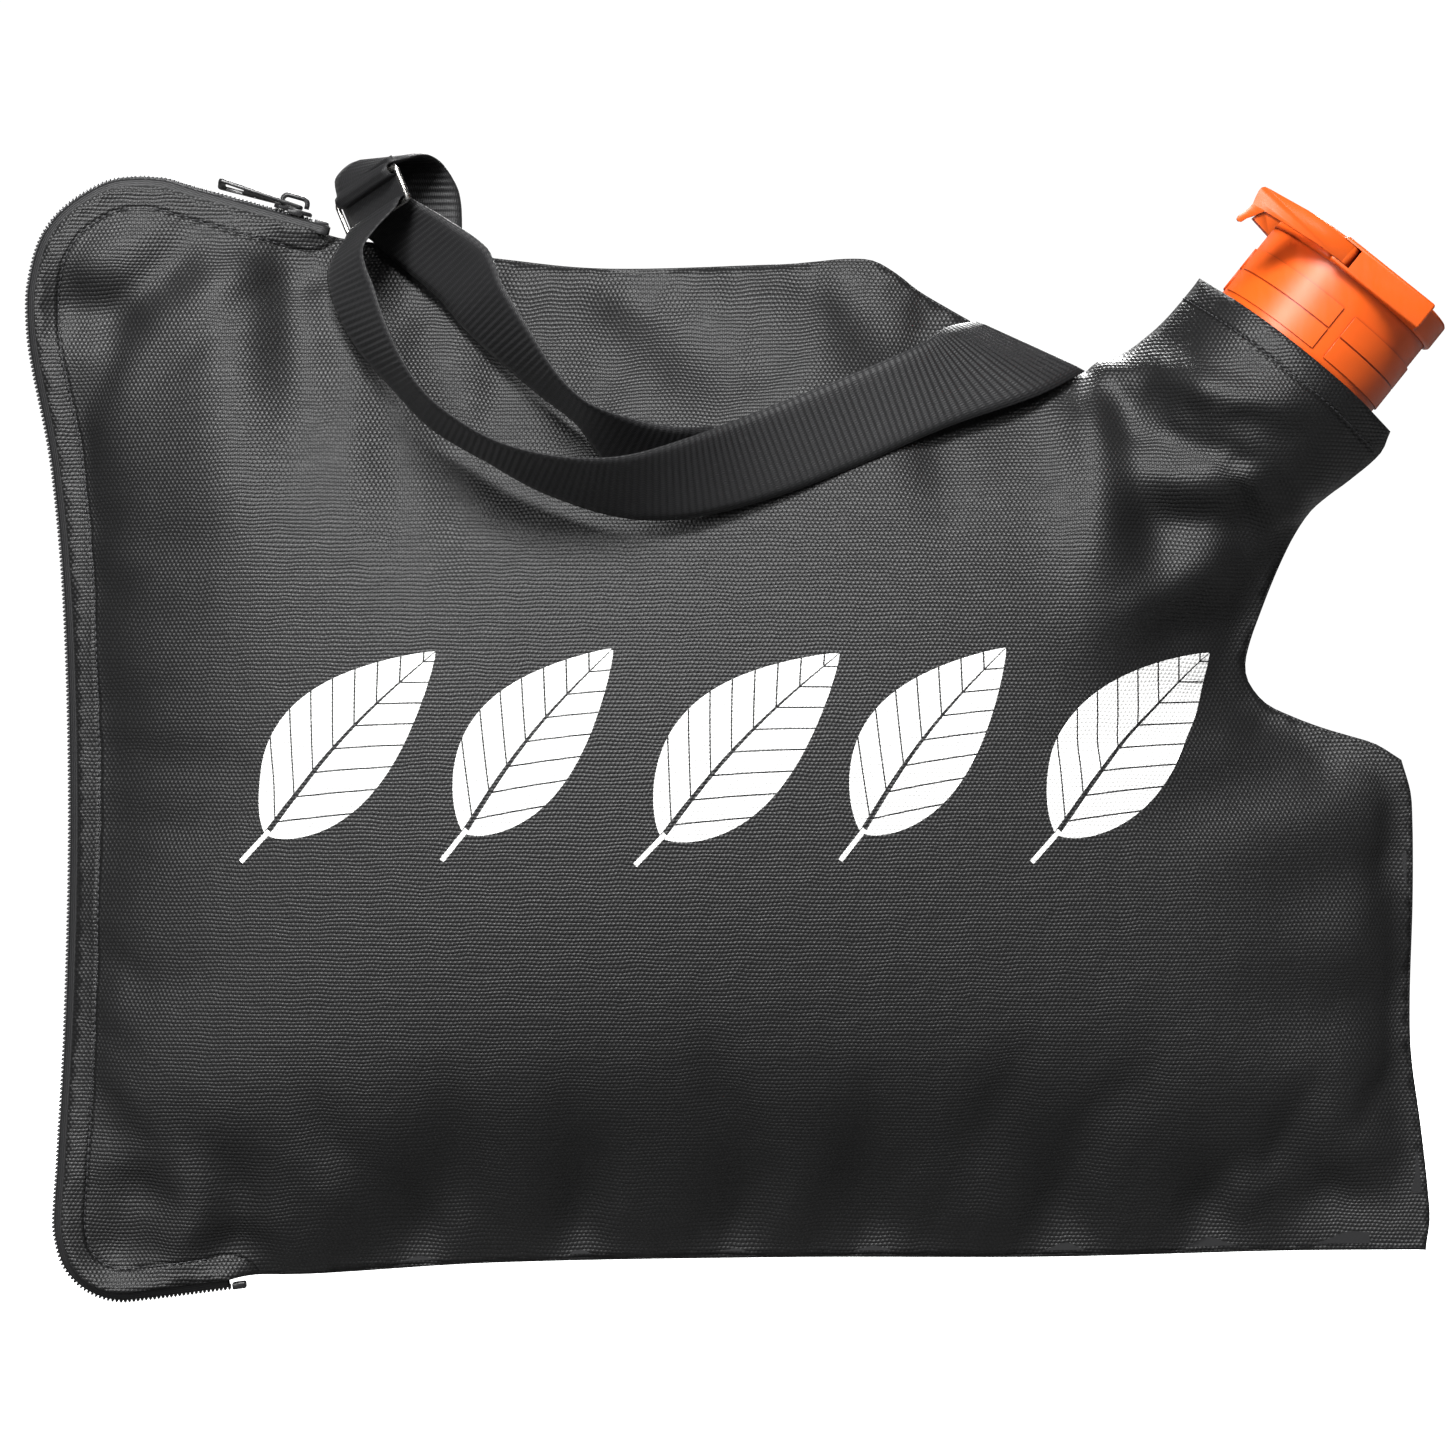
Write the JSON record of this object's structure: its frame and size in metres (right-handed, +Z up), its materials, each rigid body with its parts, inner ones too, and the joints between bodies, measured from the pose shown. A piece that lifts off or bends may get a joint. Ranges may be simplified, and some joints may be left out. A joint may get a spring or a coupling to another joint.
{
  "type": "leaf vacuum collection bag",
  "caption": "Zippered fabric collection bag with a slanted neck, an orange latched connector and a webbing shoulder strap on a wire slide.",
  "frame": {"origin": "centre of the connector's mouth, where the bag hangs on the machine's outlet", "axes": "+X along the bag from its zipped end to its neck, +Z up with the bag upright, the front with the strap faces -Y; the connector's axis lies in the XZ plane, 51.3 degrees above +X"},
  "size_m": [0.6272, 0.1592, 0.5068],
  "materials": {
    "bag_fabric": "plain weave, matte with a soft sheen",
    "binding_tape": "woven tape",
    "zip_tape": "woven tape",
    "zip_coil": "satin nylon coil",
    "zip_metal": "black enamel, worn bright on the edges",
    "connector_plastic": "satin moulded",
    "pin_steel": "plain",
    "webbing": "ribbed webbing",
    "slide_steel": "plated wire"
  },
  "bodies": {
    "bag": {"front_panel": "bag_fabric", "back_panel": "bag_fabric", "seam_binding_upper": "binding_tape", "seam_binding_bottom": "binding_tape", "seam_binding_side": "binding_tape", "zip_tape_front": "zip_tape", "zip_tape_back": "zip_tape", "zip_coil_front": "zip_coil", "zip_coil_back": "zip_coil", "zip_top_stop": "zip_metal", "zip_bottom_stop": "zip_metal", "connector_tube": "connector_plastic", "connector_collar": "connector_plastic", "latch_pin": "pin_steel", "latch_spring": "pin_steel", "shoulder_strap": "webbing", "adjuster_loop": "webbing", "wire_slide": "slide_steel"},
    "zip_slider": {"zip_slider_body": "zip_metal", "zip_slider_bridge": "zip_metal"},
    "zip_pull": {"zip_pull_tab": "zip_metal"},
    "latch": {"latch_arm": "connector_plastic"}
  },
  "joints": [
    {"name": "zip_slide", "type": "slide", "parent": "bag", "child": "zip_slider", "axis": [-0.9636, 0, 0.2672], "range_m": [0, 0.045]},
    {"name": "pull_hinge", "type": "hinge", "parent": "zip_slider", "child": "zip_pull", "pos_m": [-0.47149, 0, 0.02521], "axis": [0, 1, 0], "range_deg": [0, 95]},
    {"name": "latch_hinge", "type": "hinge", "parent": "bag", "child": "latch", "pos_m": [-0.01271, -0.0451, 0.00173], "axis": [0.6252, 0, 0.7804], "range_deg": [0, 25], "stiffness_Nm_per_rad": 0.15, "springref_deg": -11.46}
  ]
}
